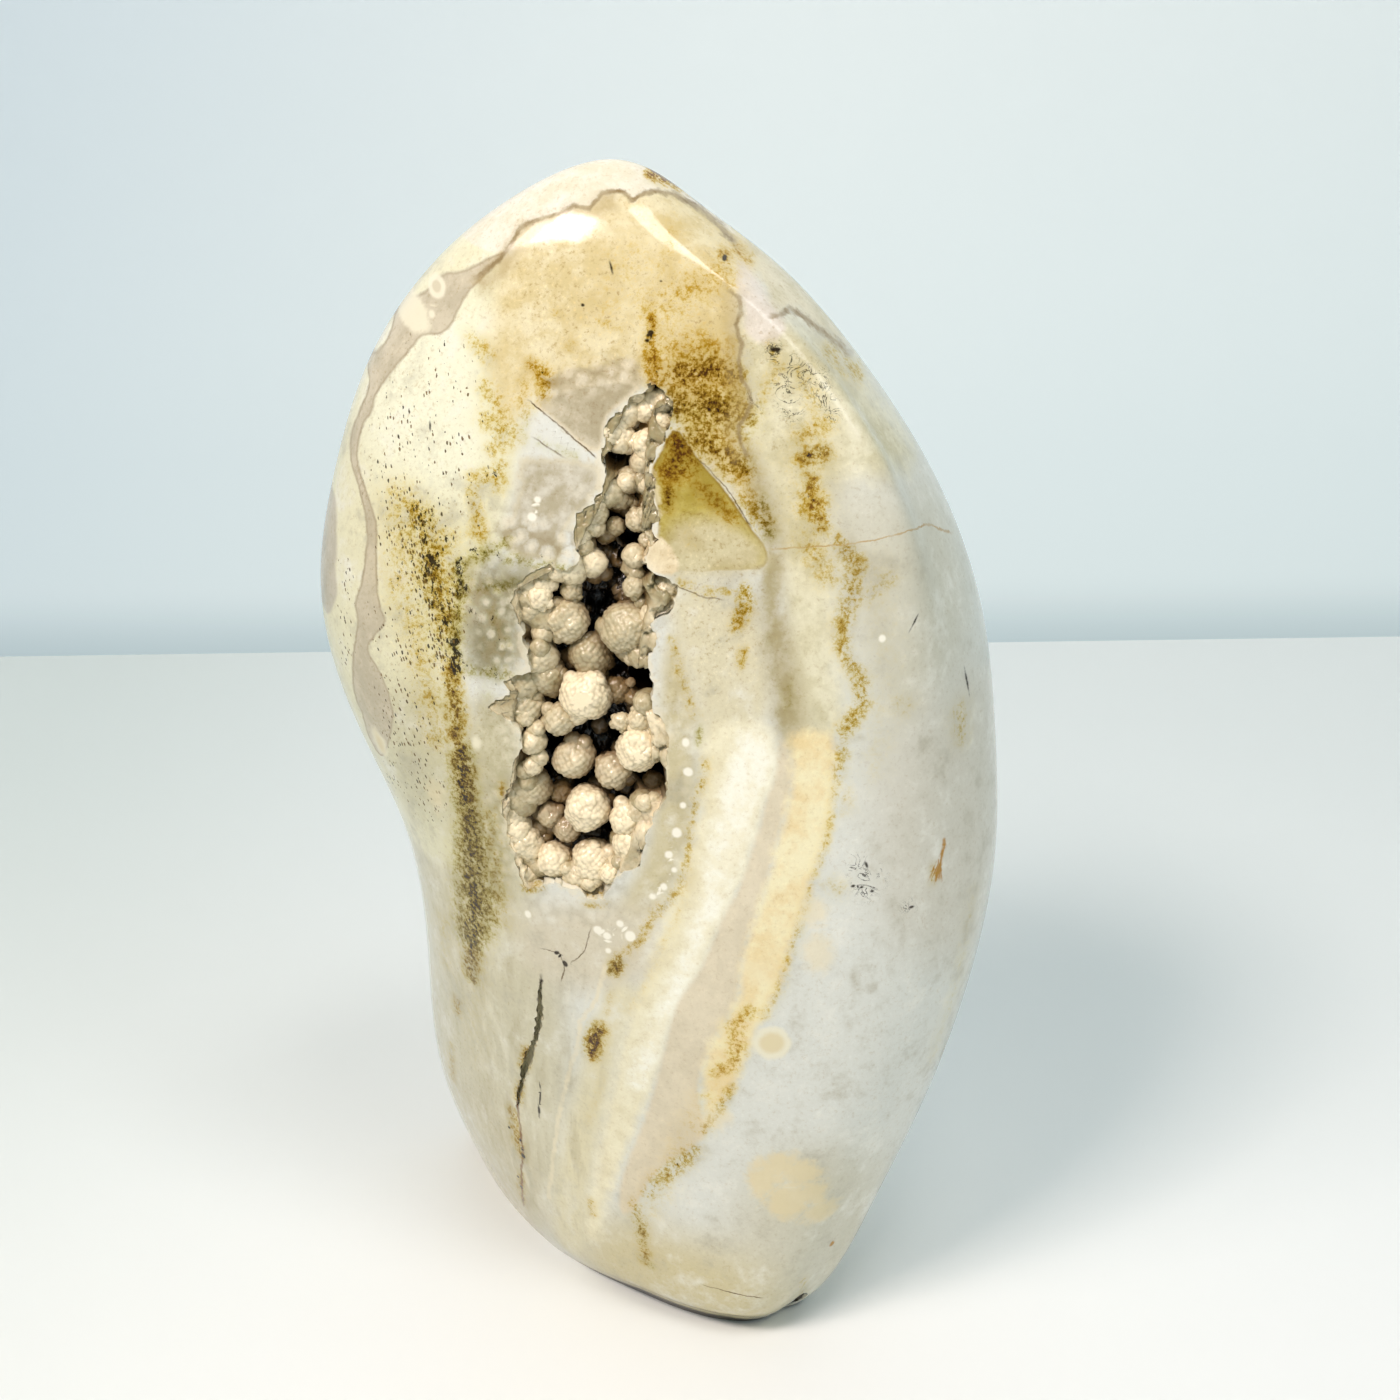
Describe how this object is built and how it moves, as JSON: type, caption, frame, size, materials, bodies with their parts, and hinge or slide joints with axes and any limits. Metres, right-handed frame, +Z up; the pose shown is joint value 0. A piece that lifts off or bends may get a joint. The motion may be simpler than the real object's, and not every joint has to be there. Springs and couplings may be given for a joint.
{
  "type": "flower agate freeform",
  "caption": "Polished freeform agate stone that stands on a flat foot, with a crystal-lined cave open in its front.",
  "frame": {"origin": "on the table, under the middle of the stone's bounding box", "axes": "+Z up from the flat foot to the rounded top, -Y towards the viewer of the cave, +X to that viewer's right"},
  "size_m": [0.081, 0.0558, 0.14],
  "materials": {
    "polished_agate": "polished banded agate in cream, tan, olive and blue-grey, glossy and slightly see-through at thin edges",
    "crystal_crust": "pinkish cream balls covered in small sparkling quartz points"
  },
  "bodies": {
    "root": {"stone": "polished_agate", "crystal_crust": "crystal_crust"}
  },
  "joints": []
}
